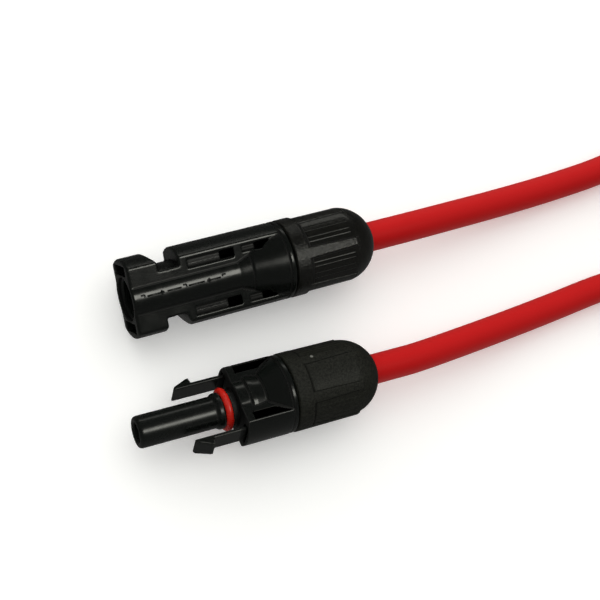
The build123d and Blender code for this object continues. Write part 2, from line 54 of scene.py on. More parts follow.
# ---- sizes in millimetres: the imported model's, and the finer surfaces' own ----
MALE_SEAM, FEMALE_SEAM = 37.3, 34.55
MALE_ROLL = 18.7
ROOF_R, FLAT_HALF, BULGE_R = 8.92, 5.2, 5.95
BORE_R, MOUTH_R, MALE_WALL, WALL_END = 4.42, 4.92, 22.6, 23.8
HEAD_END, NOTCH_END = 7.0, 11.75
SLOT_IN, SLOT_OUT, SLOT_HALF = 5.3, 7.5, 3.3
PROBE_LEN, PROBE_R, PIVOT_U, PIVOT_V = 22.0, 3.58, 27.4, 6.875
MALE_CORE = ([25.0, 28.0, 28.2, 36.1], [5.95, 6.6, 6.85, 8.7])
POCKET_U, POCKET_V, POCKET_FLOOR = (13.7, 24.5), (4.3, 6.3), 4.3  # long side pockets
DEEP_U, DEEP_V, DEEP_FLOOR = (21.6, 24.5), (4.6, 6.3), 3.0
WINDOW_START, WINDOW_REAR, WINDOW_V = 26.65, (31.2, 33.2), (4.9, 6.35)  # short side pockets
WINDOW_DEEP_START, WINDOW_DEEP_FLOOR = 30.0, 2.6
RIPPLE_DEPTH, RIPPLE_STEP = 0.022, 0.66
BODY_FRONT = 22.4
FEMALE_CORE = ([25.0, 25.3, 26.2, 28.5, 28.85, 33.25],
               [5.95, 6.4, 6.42, 6.12, 6.5, 8.62])
ROOT_R, GROOVE_R, ROOT_START = 4.05, 3.3, 17.4  # the probe's thicker root and its ring groove
LATCH_U, LATCH_V, LATCH_HALF = (20.0, 28.8), (5.97, 7.88), 2.8  # pockets of the latch arms
SIDE_START, SIDE_REAR, SIDE_V, SIDE_FLOOR = 24.3, (29.6, 32.6), (5.2, 6.9), 3.75
NECK_R, NECK_LEN, THREAD_PITCH, THREAD_DEPTH = 6.9, 10.0, 1.5, 0.4
CHAMBER_R, GLAND_R = 4.3, 5.55
CABLE_R = 3.5
ARM_TIP, ARM_INSIDE, ARM_HALF = 10.8, 6.45, 2.5
ARM_BACK = ([10.8, 11.2, 14.2, 14.75, 14.95, 30.0], [6.95, 7.3, 8.6, 8.65, 7.3, 7.3])
NUT_R, PANEL_R, PANEL_BULGE = 9.0, 8.58, 0.22
COLLAR_END, DOME_START, DOME_R, DOME_LEN = 3.62, 14.6, 8.66, 8.4
RING_U, RING_R, RING_SECTION = 20.2, 4.1, 0.8

# ---- plain arrows and dashes along the coupler's core, as (u, t) to (u, t) ----
MARKS = [
    (1.9, 0.35, 2.7, 0.35),
    (2.7, 0.35, 2.7, -0.1),
    (3.3, 0.0, 6.7, 0.0),
    (7.1, 0.0, 6.5, 0.4),
    (7.1, 0.0, 6.5, -0.4),
    (7.9, 0.0, 11.1, 0.0),
    (11.6, 0.4, 12.3, 0.4),
    (12.3, 0.4, 12.3, -0.1),
    (12.8, 0.0, 16.5, 0.0),
    (17.2, 0.0, 17.8, 0.4),
    (17.2, 0.0, 17.8, -0.4),
    (17.5, 0.0, 20.3, 0.0),
    (20.8, 0.1, 20.8, 0.5),
    (20.8, 0.5, 21.6, 0.5),
]

# ---- the cable's route: the bend points of each run and the coil between them ----
MALE_ROUTE = [
    (13.42, 14.8, 9.0),
    (40.0, 14.8, 9.0),
    (47.3, 14.8, 9.0),
    (83.3, 15.7, 3.9),
    (112.3, 17.6, 3.7),
    (131.3, 24.0, 3.8),
    (146.8, 35.5, 4.1),
    (163.3, 43.5, 4.5),
]
FEMALE_ROUTE = [
    (4.525, -14.47, 9.0),
    (30.0, -15.182, 9.0),
    (37.3, -15.386, 9.0),
    (72.3, -13.65, 4.0),
    (102.0, -11.0, 3.7),
    (118.0, -14.6, 3.8),
    (132.0, -24.0, 4.6),
    (145.3, -34.9, 6.6),
    (161.3, -39.7, 9.6),
]
COIL_CENTRE = (171.0, 2.0)
COIL_START = 100.0  # degrees, where the male run meets the coil
COIL_TURNS = 3.556
LAYER_LOW, LAYER_HIGH = 4.5, 11.5


# ---------------------------------------------------------------- camera, light, floor


def srgb(hex_colour):
    """Linear RGBA of an sRGB hex colour such as "c23a3a"."""
    parts = [int(hex_colour[i : i + 2], 16) / 255 for i in (0, 2, 4)]
    linear = [c / 12.92 if c <= 0.04045 else ((c + 0.055) / 1.055) ** 2.4 for c in parts]
    return (*linear, 1.0)


def unit(vector):
    vector = np.array(vector, float)
    return vector / np.linalg.norm(vector)


def link(item):
    bpy.context.scene.collection.objects.link(item)
    return item


def make_camera():
    """A long lens that looks down on the two connectors from their mouths."""
    lens = bpy.data.cameras.new("camera")
    lens.sensor_width = 36.0
    lens.lens = 78.0
    lens.clip_start = 0.01
    camera = link(bpy.data.objects.new("camera", lens))
    camera.location = (-0.09946, -0.01807, 0.28116)
    camera.rotation_euler = [math.radians(a) for a in (11.033, -20.033, -18.106)]
    bpy.context.scene.camera = camera


def soft_box(name, direction, distance, wide, tall, radiance, colour):
    """A rectangular lamp that looks at the connectors from a direction, its width along x.

    Sizes are in metres; the power follows from the radiance: pi times radiance times area. It
    shows in glossy faces only, since the room's glow already lights the matt ones.
    """
    lamp = bpy.data.lights.new(name, "AREA")
    lamp.shape = "RECTANGLE"
    lamp.size = wide
    lamp.size_y = tall
    lamp.energy = math.pi * radiance * wide * tall
    lamp.color = srgb(colour)[:3]
    light = link(bpy.data.objects.new(name, lamp))
    light.visible_diffuse = False
    toward = unit(direction)
    light.location = distance * toward
    across = unit(np.array((1.0, 0.0, 0.0)) - toward[0] * toward)
    turned = Matrix(np.array([across, np.cross(toward, across), toward]).T.tolist())
    light.rotation_euler = turned.to_euler()


def make_room():
    """Surround: a broad soft glow from above the far side, a dim room for mirror-like rays.

    With t the cosine to one direction, matt faces are lit by 1.6 t^2 + 0.25 t + 0.22. Glossy
    faces see a dark room that pales towards the table's near side.
    """
    world = bpy.data.worlds.new("studio")
    bpy.context.scene.world = world
    world.use_nodes = True
    world.cycles.sampling_method = "NONE"
    tree = world.node_tree
    way = add_node(tree, "ShaderNodeTexCoord").outputs["Generated"]
    lean = add_node(tree, "ShaderNodeVectorMath", [(way, 0)], operation="DOT_PRODUCT")
    lean.inputs[1].default_value = unit((0.0, 0.68, 0.73))
    slope = add_node(tree, "ShaderNodeMath", [(lean.outputs["Value"], 0)],
                     operation="MULTIPLY_ADD")
    slope.inputs[1].default_value = 1.6
    slope.inputs[2].default_value = 0.25
    glow = add_node(tree, "ShaderNodeMath", [(lean.outputs["Value"], 0),
                                             (slope.outputs["Value"], 1)],
                    operation="MULTIPLY_ADD")
    glow.inputs[2].default_value = 0.22
    near = add_node(tree, "ShaderNodeVectorMath", [(way, 0)], operation="DOT_PRODUCT")
    near.inputs[1].default_value = unit((0.0, -0.8, -0.6))
    room = add_node(tree, "ShaderNodeMapRange", [(near.outputs["Value"], "Value")],
                    From_Min=-0.6, From_Max=1.0, To_Min=0.03, To_Max=0.12)
    path = add_node(tree, "ShaderNodeLightPath")
    lit = add_node(tree, "ShaderNodeMix", [(path.outputs["Is Diffuse Ray"], "Factor"),
                                           (room.outputs["Result"], "A"),
                                           (glow.outputs["Value"], "B")])
    seen = add_node(tree, "ShaderNodeMix", [(path.outputs["Is Camera Ray"], "Factor"),
                                            (lit.outputs["Result"], "A")], B=0.95)
    tree.links.new(seen.outputs["Result"], tree.nodes["Background"].inputs["Strength"])
    tree.nodes["Background"].inputs["Color"].default_value = srgb("fffffb")


def make_stage():
    """A plain pale table top, which takes shadows but lights and mirrors nothing, and two lamps."""
    bpy.context.scene.view_settings.view_transform = "Standard"
    make_room()
    side = 2.0
    corners = [(-side, -side, 0), (side, -side, 0), (side, side, 0), (-side, side, 0)]
    mesh = bpy.data.meshes.new("table_top")
    mesh.from_pydata(corners, [], [(0, 1, 2, 3)])
    table = link(bpy.data.objects.new("table_top", mesh))
    table.location.z = -0.0002
    table.visible_diffuse = False
    table.visible_glossy = False
    table.visible_shadow = False
    mesh.materials.append(pale_table())
    soft_box("overhead_box", (0.24, -0.14, 0.96), 0.6, 0.30, 0.17, 5.8, "fffff4")
    soft_box("far_box", (0.33, 0.92, 0.2), 0.6, 0.42, 0.12, 1.15, "fffff6")


# ---------------------------------------------------------------- materials


def add_node(tree, kind, links=(), **settings):
    """Adds a node, sets its properties and inputs, and links (socket, input name) pairs to it."""
    node = tree.nodes.new(kind)
    for key, value in settings.items():
        if hasattr(node, key):
            setattr(node, key, value)
        else:
            node.inputs[key.replace("_", " ")].default_value = value
    for socket, name in links:
        tree.links.new(socket, node.inputs[name])
    return node


def new_material(name, **settings):
    """A material with a principled shader whose inputs are set; returns it, its tree and shader."""
    material = bpy.data.materials.new(name)
    material.use_nodes = True
    tree = material.node_tree
    shader = tree.nodes["Principled BSDF"]
    for key, value in settings.items():
        shader.inputs[key.replace("_", " ")].default_value = value
    return material, tree, shader


def pale_table():
    """Matt white laminate over a light table."""
    material, _, _ = new_material("white_laminate", Base_Color=srgb("f8f8f8"), Roughness=0.7,
                                  Emission_Color=srgb("ffffff"), Emission_Strength=0.22)
    return material


def moulded_nylon(name, base, pale, smooth, coarse, grain_mm, depth_mm, shine=0.5, gate=None):
    """Glass-filled nylon out of a steel mould.

    Spark-eroded faces have a fine grain and scatter light; polished faces show only slow waves
    where the melt shrank. The piece's own "grain" attribute says which is which, from 0 to 1.
    Its edge attribute dulls and lightens the edges, partly as wear from rubbing and partly as a
    painted glint; towards -1 it dulls the inner creases and darkens them with painted shade. A
    further attribute paints the walls of narrow recesses near-black as painted shade, and the
    metallic input takes their gloss away. A gate is the place, in metres, of the small grey scar
    where the melt came in.
    """
    material, tree, shader = new_material(name, IOR=1.53, Specular_IOR_Level=shine)
    place = add_node(tree, "ShaderNodeTexCoord").outputs["Object"]
    grain = add_node(tree, "ShaderNodeAttribute", attribute_name="grain").outputs["Fac"]
    pits = add_node(tree, "ShaderNodeTexNoise", [(place, "Vector")], Scale=1 / (grain_mm * MM),
                    Detail=2.0, Roughness=0.6)
    waves = add_node(tree, "ShaderNodeTexNoise", [(place, "Vector")], Scale=1 / (3.0 * MM),
                     Detail=2.0, Roughness=0.5)
    specks = add_node(tree, "ShaderNodeTexVoronoi", [(place, "Vector")], Scale=1 / (1.7 * MM))
    speck = add_node(tree, "ShaderNodeMapRange", [(specks.outputs["Distance"], "Value")],
                     From_Min=0.05, From_Max=0.09, To_Min=1.0, To_Max=0.0)
    mottle = add_node(tree, "ShaderNodeMapRange", [(pits.outputs["Fac"], "Value")],
                      From_Min=0.35, From_Max=0.65, To_Min=0.0, To_Max=1.0)
    tone = add_node(tree, "ShaderNodeMix", [(mottle.outputs["Result"], "Factor")],
                    data_type="RGBA")
    tone.inputs["A"].default_value = srgb(base)
    tone.inputs["B"].default_value = srgb(pale)
    # Edge value: above zero, lighter edges, partly wear and partly painted glint; below zero,
    # painted crease shade.
    wear_glint_and_shade = add_node(tree, "ShaderNodeAttribute", attribute_name="wear_glint_and_crease_shade").outputs["Fac"]
    tone = add_node(tree, "ShaderNodeMix", [(wear_glint_and_shade, "Factor"), (tone.outputs["Result"], "A")],
                    data_type="RGBA")
    tone.inputs["B"].default_value = srgb("30312d")
    # Painted shade: inner creases darkened towards near-black.
    crease_shade = add_node(tree, "ShaderNodeMapRange", [(wear_glint_and_shade, "Value")], From_Min=-2.0,
                      From_Max=0.0, To_Min=1.0, To_Max=0.0)
    # Painted shade: the walls of narrow recesses painted near-black.
    deep = add_node(tree, "ShaderNodeAttribute", attribute_name="deep").outputs["Fac"]
    painted_shade = add_node(tree, "ShaderNodeMath", [(crease_shade.outputs["Result"], 0), (deep, 1)],
                    operation="MAXIMUM")
    tone = add_node(tree, "ShaderNodeMix", [(painted_shade.outputs["Value"], "Factor"),
                                            (tone.outputs["Result"], "A")], data_type="RGBA")
    tone.inputs["B"].default_value = srgb("020202")
    if gate is not None:
        away = add_node(tree, "ShaderNodeVectorMath", [(place, 0)], operation="DISTANCE")
        away.inputs[1].default_value = gate
        scar = add_node(tree, "ShaderNodeMapRange", [(away.outputs["Value"], "Value")],
                        From_Min=0.3 * MM, From_Max=0.42 * MM, To_Min=0.9, To_Max=0.0)
        tone = add_node(tree, "ShaderNodeMix", [(scar.outputs["Result"], "Factor"),
                                                (tone.outputs["Result"], "A")], data_type="RGBA")
        tone.inputs["B"].default_value = srgb("74746f")
    tree.links.new(tone.outputs["Result"], shader.inputs["Base Color"])
    gloss = add_node(tree, "ShaderNodeMapRange", [(grain, "Value")], To_Min=smooth, To_Max=coarse)
    uneven = add_node(tree, "ShaderNodeMapRange", [(waves.outputs["Fac"], "Value")],
                      From_Min=0.3, From_Max=0.7, To_Min=-0.03, To_Max=0.04)
    scuff = add_node(tree, "ShaderNodeMath", [(wear_glint_and_shade, 0)], operation="ABSOLUTE")
    crease = add_node(tree, "ShaderNodeMapRange", [(scuff.outputs["Value"], "Value")],
                      To_Min=0.0, To_Max=0.55)
    rough = add_node(tree, "ShaderNodeMath", [(gloss.outputs["Result"], 0),
                                              (uneven.outputs["Result"], 1)], operation="ADD")
    rough = add_node(tree, "ShaderNodeMath", [(rough.outputs["Value"], 0),
                                              (crease.outputs["Result"], 1)], operation="ADD")
    tree.links.new(rough.outputs["Value"], shader.inputs["Roughness"])
    # The recess walls' painted shade also loses its gloss through the metallic input.
    tree.links.new(deep, shader.inputs["Metallic"])
    eroded = add_node(tree, "ShaderNodeMapRange", [(grain, "Value")], From_Min=0.4, From_Max=1.0)
    relief = add_node(tree, "ShaderNodeMath", [(pits.outputs["Fac"], 0),
                                               (eroded.outputs["Result"], 1)],
                      operation="MULTIPLY")
    slow = add_node(tree, "ShaderNodeBump", [(waves.outputs["Fac"], "Height")],
                    Strength=0.35, Distance=0.05 * MM)
    fine = add_node(tree, "ShaderNodeBump", [(relief.outputs["Value"], "Height"),
                                             (slow.outputs["Normal"], "Normal")],
                    Strength=0.9, Distance=depth_mm * MM)
    dust = add_node(tree, "ShaderNodeBump", [(speck.outputs["Result"], "Height"),
                                             (fine.outputs["Normal"], "Normal")],
                    Strength=0.15, Distance=0.02 * MM)
    tree.links.new(dust.outputs["Normal"], shader.inputs["Normal"])
    return material


def extruded_sheath():
    """Cross-linked polyolefin sheath, drawn through a die: satin, with faint lines along it."""
    material, tree, shader = new_material("red_cross_linked_sheath", IOR=1.5,
                                          Specular_IOR_Level=0.07, Sheen_Weight=0.08)
    place = add_node(tree, "ShaderNodeTexCoord").outputs["Object"]
    bloom = add_node(tree, "ShaderNodeTexNoise", [(place, "Vector")], Scale=1 / (6.0 * MM),
                     Detail=3.0)
    skin = add_node(tree, "ShaderNodeTexNoise", [(place, "Vector")], Scale=1 / (0.35 * MM),
                    Detail=2.0)
    tone = add_node(tree, "ShaderNodeMix", [(bloom.outputs["Fac"], "Factor")], data_type="RGBA")
    tone.inputs["A"].default_value = srgb("b80a0c")
    tone.inputs["B"].default_value = srgb("bd0d0f")
    tree.links.new(tone.outputs["Result"], shader.inputs["Base Color"])
    rough = add_node(tree, "ShaderNodeMapRange", [(skin.outputs["Fac"], "Value")],
                     To_Min=0.46, To_Max=0.58)
    tree.links.new(rough.outputs["Result"], shader.inputs["Roughness"])
    bump = add_node(tree, "ShaderNodeBump", [(skin.outputs["Fac"], "Height")],
                    Strength=0.25, Distance=0.03 * MM)
    tree.links.new(bump.outputs["Normal"], shader.inputs["Normal"])
    return material


def silicone_rubber(name, base, bright):
    """Moulded silicone: soft sheen, slightly uneven colour, faint flash marks."""
    material, tree, shader = new_material(name, IOR=1.41, Subsurface_Weight=0.08)
    shader.inputs["Subsurface Scale"].default_value = 0.4 * MM
    shader.inputs["Subsurface Radius"].default_value = (1.0, 0.3, 0.2)
    place = add_node(tree, "ShaderNodeTexCoord").outputs["Object"]
    cloud = add_node(tree, "ShaderNodeTexNoise", [(place, "Vector")], Scale=1 / (0.9 * MM),
                     Detail=3.0)
    tone = add_node(tree, "ShaderNodeMix", [(cloud.outputs["Fac"], "Factor")], data_type="RGBA")
    tone.inputs["A"].default_value = srgb(base)
    tone.inputs["B"].default_value = srgb(bright)
    tree.links.new(tone.outputs["Result"], shader.inputs["Base Color"])
    rough = add_node(tree, "ShaderNodeMapRange", [(cloud.outputs["Fac"], "Value")],
                     To_Min=0.2, To_Max=0.36)
    tree.links.new(rough.outputs["Result"], shader.inputs["Roughness"])
    bump = add_node(tree, "ShaderNodeBump", [(cloud.outputs["Fac"], "Height")],
                    Strength=0.3, Distance=0.008 * MM)
    tree.links.new(bump.outputs["Normal"], shader.inputs["Normal"])
    return material


def turned_metal(name, base, dull, rough_low, rough_high, line_mm):
    """Plated or bare metal from a lathe or a press: fine tool lines that cross the axis."""
    material, tree, shader = new_material(name, Metallic=1.0)
    place = add_node(tree, "ShaderNodeTexCoord").outputs["Object"]
    stretch = add_node(tree, "ShaderNodeMapping", [(place, "Vector")], Scale=(1.0, 0.05, 0.05))
    lines = add_node(tree, "ShaderNodeTexNoise", [(stretch.outputs["Vector"], "Vector")],
                     Scale=1 / (line_mm * MM), Detail=2.0)
    stain = add_node(tree, "ShaderNodeTexNoise", [(place, "Vector")], Scale=1 / (1.5 * MM))
    tone = add_node(tree, "ShaderNodeMix", [(stain.outputs["Fac"], "Factor")], data_type="RGBA")
    tone.inputs["A"].default_value = srgb(base)
    tone.inputs["B"].default_value = srgb(dull)
    tree.links.new(tone.outputs["Result"], shader.inputs["Base Color"])
    rough = add_node(tree, "ShaderNodeMapRange", [(lines.outputs["Fac"], "Value")],
                     To_Min=rough_low, To_Max=rough_high)
    tree.links.new(rough.outputs["Result"], shader.inputs["Roughness"])
    bump = add_node(tree, "ShaderNodeBump", [(lines.outputs["Fac"], "Height")],
                    Strength=0.3, Distance=0.02 * MM)
    tree.links.new(bump.outputs["Normal"], shader.inputs["Normal"])
    return material


def stranded_copper():
    """Tinned strands laid side by side, 0.3 mm each."""
    material, tree, shader = new_material("tinned_copper_strands", Metallic=1.0, Roughness=0.35)
    place = add_node(tree, "ShaderNodeTexCoord").outputs["Object"]
    squeeze = add_node(tree, "ShaderNodeMapping", [(place, "Vector")], Scale=(0.12, 1.0, 1.0))
    strands = add_node(tree, "ShaderNodeTexVoronoi", [(squeeze.outputs["Vector"], "Vector")],
                       Scale=1 / (0.3 * MM))
    tone = add_node(tree, "ShaderNodeMix", [(strands.outputs["Distance"], "Factor")],
                    data_type="RGBA")
    tone.inputs["A"].default_value = srgb("d8d6cf")
    tone.inputs["B"].default_value = srgb("8f8c85")
    tree.links.new(tone.outputs["Result"], shader.inputs["Base Color"])
    bump = add_node(tree, "ShaderNodeBump", [(strands.outputs["Distance"], "Height")],
                    Strength=0.8, Distance=0.1 * MM)
    tree.links.new(bump.outputs["Normal"], shader.inputs["Normal"])
    return material


def natural_polyolefin():
    """Unpigmented core insulation: milky, waxy, faintly mottled."""
    material, tree, shader = new_material("natural_polyolefin", IOR=1.5, Subsurface_Weight=0.2)
    shader.inputs["Subsurface Scale"].default_value = 1.0 * MM
    place = add_node(tree, "ShaderNodeTexCoord").outputs["Object"]
    cloud = add_node(tree, "ShaderNodeTexNoise", [(place, "Vector")], Scale=1 / (1.2 * MM))
    tone = add_node(tree, "ShaderNodeMix", [(cloud.outputs["Fac"], "Factor")], data_type="RGBA")
    tone.inputs["A"].default_value = srgb("e4e0d4")
    tone.inputs["B"].default_value = srgb("f0ede4")
    tree.links.new(tone.outputs["Result"], shader.inputs["Base Color"])
    rough = add_node(tree, "ShaderNodeMapRange", [(cloud.outputs["Fac"], "Value")],
                     To_Min=0.4, To_Max=0.55)
    tree.links.new(rough.outputs["Result"], shader.inputs["Roughness"])
    return material


def woven_strap():
    """Black polyester hook strap: a plain weave with 0.5 mm threads on the piece's own map."""
    material, tree, shader = new_material("woven_polyester_strap", Roughness=0.85)
    shader.inputs["Sheen Weight"].default_value = 0.3
    place = add_node(tree, "ShaderNodeUVMap", uv_map="weave").outputs["UV"]
    warp = add_node(tree, "ShaderNodeTexWave", [(place, "Vector")], bands_direction="X",
                    Scale=1.0 / 0.5, Distortion=0.6)
    weft = add_node(tree, "ShaderNodeTexWave", [(place, "Vector")], bands_direction="Y",
                    Scale=1.0 / 0.5, Distortion=0.6)
    cross = add_node(tree, "ShaderNodeMath", [(warp.outputs["Fac"], 0), (weft.outputs["Fac"], 1)],
                     operation="MULTIPLY")
    tone = add_node(tree, "ShaderNodeMix", [(cross.outputs["Value"], "Factor")],
                    data_type="RGBA")
    tone.inputs["A"].default_value = srgb("101012")
    tone.inputs["B"].default_value = srgb("2c2c30")
    tree.links.new(tone.outputs["Result"], shader.inputs["Base Color"])
    bump = add_node(tree, "ShaderNodeBump", [(cross.outputs["Value"], "Height")],
                    Strength=0.6, Distance=0.12 * MM)
    tree.links.new(bump.outputs["Normal"], shader.inputs["Normal"])
    return material


# ---------------------------------------------------------------- places of the two ends


def male_place():
    """Rows u, v, w and the mouth's centre in millimetres, from the nut's screw axis."""
    joint = JOINTS["male_nut_turn"]
    u = unit(joint["axis"])
    roll = math.radians(MALE_ROLL)
    v = np.array([0.0, math.cos(roll), math.sin(roll)])
    origin = np.array(joint["pos_m"]) / MM - MALE_SEAM * u
    return np.array([u, v, np.cross(u, v)]), origin


def female_place():
    """Rows u, v, w and the probe tip's centre, from the screw axis and the two latch pivots."""
    u = unit(JOINTS["female_nut_turn"]["axis"])
    upper = np.array(JOINTS["latch_upper_flex"]["pos_m"]) / MM
    lower = np.array(JOINTS["latch_lower_flex"]["pos_m"]) / MM
    v = unit(upper - lower)
    origin = (upper + lower) / 2 - PIVOT_U * u
    return np.array([u, v, np.cross(u, v)]), origin


MALE = male_place()
FEMALE = female_place()


def to_row(points, place):
    """Points (u, v, w) in millimetres of one end, in the row frame in metres."""
    rows, origin = place
    return (points @ rows + origin) * MM


# ---------------------------------------------------------------- mesh tools


def mesh_piece(name, points, faces, material, body, nodes, attributes=None):
    """A smooth-shaded piece from arrays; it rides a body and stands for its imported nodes."""
    mesh = bpy.data.meshes.new(name)
    mesh.from_pydata(points, [], faces)
    mesh.polygons.foreach_set("use_smooth", np.ones(len(mesh.polygons), dtype=bool))
    for key, values in (attributes or {}).items():
        layer = mesh.attributes.new(key, "FLOAT", "POINT")
        layer.data.foreach_set("value", np.asarray(values, np.float32))
    mesh.materials.append(material)
    mesh.update()
    piece = link(bpy.data.objects.new(name, mesh))
    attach(piece, body)
    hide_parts(*nodes)
    return piece


def grid_faces(rows, columns, closed):
    """Quads over a grid of points; closed joins the last column to the first."""
    across = columns if closed else columns - 1
    row, column = np.meshgrid(np.arange(rows - 1), np.arange(across), indexing="ij")
    beside = (column + 1) % columns
    quads = [row * columns + column, row * columns + beside,
             (row + 1) * columns + beside, (row + 1) * columns + column]
    return np.stack(quads, axis=-1).reshape(-1, 4)


def smooth_max(a, b, k):
    """Larger of two fields, with a blend of width k: the larger plus (k - |a - b|)^2 / 4k."""
    overlap = np.maximum(k - np.abs(a - b), 0.0)
    return np.maximum(a, b) + overlap * overlap / (4.0 * k)


def smooth_min(a, b, k):
    """Smaller of two fields with the same blend."""
    return -smooth_max(-a, -b, k)


def carve(body, hole, k):
    """The body without the hole, with its rim rounded over about k."""
    return smooth_max(body, -hole, k)


def slab_between(x, low, high):
    """Field of the space between two planes."""
    return np.abs(x - (low + high) / 2) - (high - low) / 2


def rise(x, start, end):
    """Smooth step from 0 at start to 1 at end."""
    t = np.clip((x - start) / (end - start), 0.0, 1.0)
    return t * t * (3.0 - 2.0 * t)


def level(field, points, steps=4, reach=0.15):
    """Moves points onto field = 0 by Newton steps along the field's own slope."""
    for _ in range(steps):
        value = field(*points.T)
        slope = np.empty_like(points)
        for axis in range(3):
            shift = np.zeros(3)
            shift[axis] = 0.01
            slope[:, axis] = (field(*(points + shift).T) - field(*(points - shift).T)) / 0.02
        size = np.maximum((slope * slope).sum(axis=1), 0.05)
        move = np.clip(value / size, -reach, reach)
        points = points - slope * move[:, None]
    return points


def surface_of(field, low, high, step):
    """Closed mesh of the solid where a field is negative.

    Every grid cell that the surface passes holds one point, the mean of where the surface cuts
    the cell's edges, and every cut edge of the grid joins the points of its four cells with a
    quad that faces out of the solid. The points are then levelled onto the surface.
    """
    axes = [np.arange(a - 1.5 * step, b + 2.5 * step, step) for a, b in zip(low, high)]
    value = field(*np.meshgrid(*axes, indexing="ij"))
    shape = np.array(value.shape)
    stride = np.array([shape[1] * shape[2], shape[2], 1])
    sums = np.zeros((value.size, 3))
    hits = np.zeros(value.size)
    loops = []
    for axis in range(3):
        one, two = [np.moveaxis(value, axis, 0)[s] for s in (slice(None, -1), slice(1, None))]
        cut = np.argwhere(np.moveaxis((one < 0) != (two < 0), 0, axis))
        start = value[tuple(cut.T)]
        end = value[tuple((cut + np.eye(3, dtype=int)[axis]).T)]
        place = cut.astype(float)
        place[:, axis] += start / (start - end)
        b, c = [(axis + k) % 3 for k in (1, 2)]
        home = cut @ stride
        ring = [home, home - stride[b], home - stride[b] - stride[c], home - stride[c]]
        for cell in ring:
            hits += np.bincount(cell, minlength=value.size)
            for k in range(3):
                sums[:, k] += np.bincount(cell, place[:, k], minlength=value.size)
        quads = np.stack(ring, axis=1)
        quads[start > 0] = quads[start > 0][:, ::-1]
        loops.append(quads)
    used = np.flatnonzero(hits)
    number = np.zeros(value.size, dtype=int)
    number[used] = np.arange(len(used))
    corner = np.array([axis[0] for axis in axes])
    points = corner + step * sums[used] / hits[used][:, None]
    return level(field, points), number[np.concatenate(loops)]


# ---------------------------------------------------------------- housings


def slanted_window(u, v, w, start, rear, sides, floor):
    """Side pocket with a slanted rear wall, which ends at rear[0] inside and rear[1] outside."""
    side = np.abs(v)
    wall = u - rear[0] - (side - sides[0]) * (rear[1] - rear[0]) / (sides[1] - sides[0])
    pocket = smooth_max(slab_between(side, *sides), floor - np.abs(w), 0.15)
    return smooth_max(smooth_max(pocket, start - u, 0.12), wall, 0.12)


def male_recess(u, v, w):
    """The deep parts of the coupler's long and short side pockets."""
    side, height = np.abs(v), np.abs(w)
    deep = smooth_max(slab_between(u, *DEEP_U), slab_between(side, *DEEP_V), 0.2)
    deep = smooth_max(deep, DEEP_FLOOR - height, 0.25)
    window = slanted_window(u, v, w, WINDOW_DEEP_START, WINDOW_REAR, WINDOW_V, WINDOW_DEEP_FLOOR)
    return np.minimum(deep, window)


def female_recess(u, v, w):
    """The plug's side pockets."""
    return slanted_window(u, v, w, SIDE_START, SIDE_REAR, SIDE_V, SIDE_FLOOR)


def neck(u, v, w, seam):
    """Screw neck: a helical ridge of triangular section, 1.5 mm to the turn."""
    rho = np.hypot(v, w)
    turn = (u - seam) / THREAD_PITCH - np.arctan2(w, v) / (2 * math.pi)
    ridge = 1.0 - 2.0 * np.abs(turn - np.floor(turn) - 0.5)
    threaded = rise(u, seam + 1.0, seam + 1.6) * (1.0 - rise(u, seam + 8.6, seam + 9.4))
    radius = NECK_R - 0.42 + THREAD_DEPTH * threaded * np.clip(1.6 * ridge - 0.3, 0.0, 1.0)
    return smooth_max(rho - radius, slab_between(u, seam - 1.0, seam + NECK_LEN), 0.4)


def inner_chambers(u, rho, start, seam):
    """Contact chamber and the wider chamber of the wire seal behind it."""
    chamber = smooth_max(rho - CHAMBER_R, start - u, 0.2)
    gland = smooth_max(rho - GLAND_R, seam + 1.0 - u, 0.2)
    return smooth_min(chamber, gland, 0.1)


def core_radius(u, profile, seam):
    """Radius of the round core, from its profile's corners, and of the flange at the seam."""
    return np.interp(u, *profile) + 0.25 * rise(u, seam - 1.2, seam - 1.0)


def edge_wear_glint_and_shade(field, points):
    """How sharply the solid bulges out at its points, up to 0.6, or folds in, down to -1.

    The mean of the field over a small cross of points less its value in the middle is the
    surface's curvature; flat places give zero.
    """
    reach = 0.3
    around = [field(*(points + sign * reach * axis).T) for axis in np.eye(3) for sign in (-1, 1)]
    bulge = np.mean(around, axis=0) - field(*points.T)
    # Bulges give lighter edges, partly wear and partly painted glint; folds give painted crease
    # shade.
    return 0.6 * rise(bulge, 0.035, 0.11) - rise(-bulge, 0.006, 0.018)


